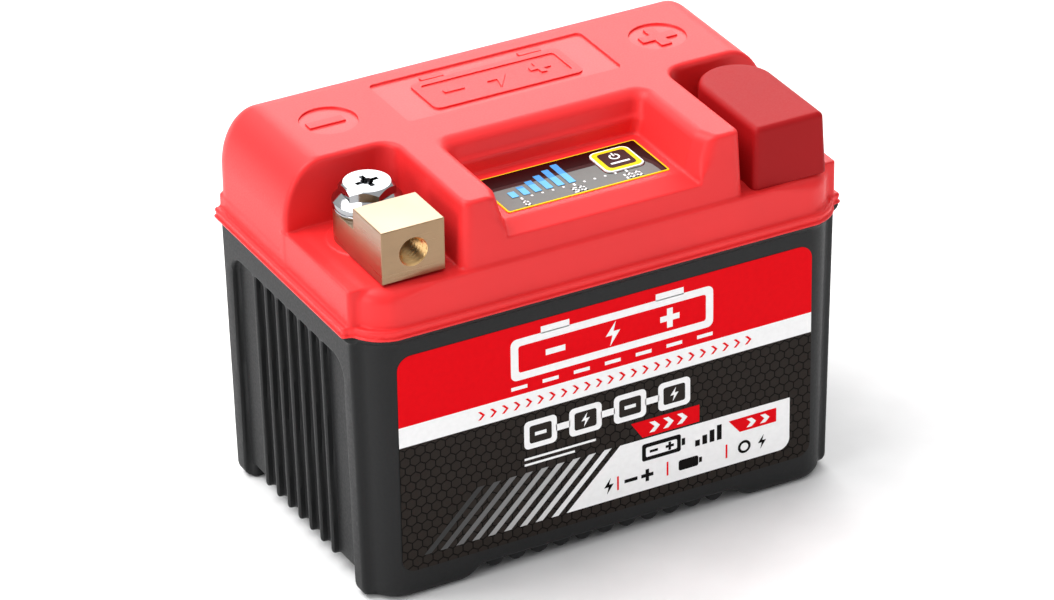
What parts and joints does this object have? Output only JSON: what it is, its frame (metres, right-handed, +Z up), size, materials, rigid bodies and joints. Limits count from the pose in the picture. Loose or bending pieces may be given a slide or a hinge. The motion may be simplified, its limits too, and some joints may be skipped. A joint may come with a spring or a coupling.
{
  "type": "motorcycle battery",
  "caption": "Sealed 12 V lithium motorcycle battery: ribbed case, domed cover, brass terminal blocks, lift-off terminal cap and a charge gauge with a test button.",
  "frame": {"origin": "centre of the bounding box at the plane of the feet", "axes": "+X along the 113 mm length, from the negative towards the positive terminal; +Y away from the gauge and label side, along the 70 mm width; +Z up"},
  "size_m": [0.113, 0.07, 0.085],
  "materials": {
    "case_black": "fine-textured moulded polymer, satin",
    "cover_red": "moulded polymer, soft satin",
    "cap_red": "moulded flexible polymer, satin",
    "label_print": "laminated printed film, semi-gloss",
    "brass": "machined, fine milling lines",
    "bolt_chrome": "bright plated steel",
    "nickel": "plain nickel-plated steel",
    "seal_rubber": "matte",
    "gauge_film": "printed polyester film, semi-gloss",
    "button_yellow": "printed polyester key, semi-gloss",
    "board_green": "solder mask, satin",
    "led_clear": "clear resin",
    "component_black": "moulded epoxy, matte",
    "cell_wrap": "shrink film, semi-gloss",
    "holder_black": "moulded polymer, matte",
    "lead_black": "silicone insulation, satin",
    "lead_red": "silicone insulation, satin",
    "foam_grey": "closed-cell foam, matte",
    "insulation_tan": "pressed fibre sheet, matte"
  },
  "bodies": {
    "housing": {"case": "case_black", "cover": "cover_red", "front_label": "label_print", "gauge_overlay": "gauge_film", "gauge_board": "board_green", "switch_body": "component_black", "gauge_screw_left": "nickel", "gauge_screw_right": "nickel", "gauge_cable": "lead_black", "holder_left": "holder_black", "holder_right": "holder_black", "negative_tab": "nickel", "positive_tab": "nickel", "link_1_2": "nickel", "link_2_3": "nickel", "link_3_4": "nickel", "balance_board": "board_green", "balance_chip": "component_black", "insulation_sheet": "insulation_tan", "board_pad": "foam_grey", "foam_left": "foam_grey", "foam_right": "foam_grey", "foam_top": "foam_grey", "negative_lead": "lead_black", "positive_lead": "lead_red", "negative_terminal": "brass", "negative_insert": "brass", "negative_seal": "seal_rubber", "negative_nut": "nickel", "negative_lug": "nickel", "positive_terminal": "brass", "positive_insert": "brass", "positive_seal": "seal_rubber", "positive_washer": "bolt_chrome", "positive_bolt": "bolt_chrome", "positive_nut": "nickel", "positive_lug": "nickel", "gauge_led_1": "led_clear", "gauge_led_2": "led_clear", "gauge_led_3": "led_clear", "gauge_led_4": "led_clear", "gauge_led_5": "led_clear", "gauge_led_6": "led_clear", "cell_1": "cell_wrap", "bleed_resistor_1": "component_black", "cell_2": "cell_wrap", "bleed_resistor_2": "component_black", "cell_3": "cell_wrap", "bleed_resistor_3": "component_black", "cell_4": "cell_wrap", "bleed_resistor_4": "component_black"},
    "cap": {"terminal_cap": "cap_red"},
    "captive_washer": {"negative_washer": "bolt_chrome"},
    "terminal_bolt": {"negative_bolt": "bolt_chrome"},
    "button": {"test_button": "button_yellow"},
    "plunger": {"switch_plunger": "component_black"}
  },
  "joints": [
    {"name": "cap_lift", "type": "slide", "parent": "housing", "child": "cap", "axis": [0, 0, 1], "range_m": [0, 0.016]},
    {"name": "bolt_lift", "type": "slide", "parent": "housing", "child": "captive_washer", "axis": [0, 0, 1], "range_m": [0, 0.006]},
    {"name": "bolt_turn", "type": "hinge", "parent": "captive_washer", "child": "terminal_bolt", "pos_m": [-0.0414, -0.0113, 0.0786], "axis": [0, 0, 1], "range_deg": [0, 2162]},
    {"name": "button_press", "type": "slide", "parent": "housing", "child": "button", "axis": [0, 0, -1], "range_m": [0, 0.0004], "stiffness_N_per_m": 4000},
    {"name": "plunger_press", "type": "slide", "parent": "housing", "child": "plunger", "axis": [0, 0, -1], "range_m": [0, 0.0005]}
  ],
  "couplings": [
    {"joint": "bolt_turn", "follows": "bolt_lift", "rad_per_m": 6283.2},
    {"joint": "plunger_press", "follows": "button_press", "ratio": 1}
  ]
}
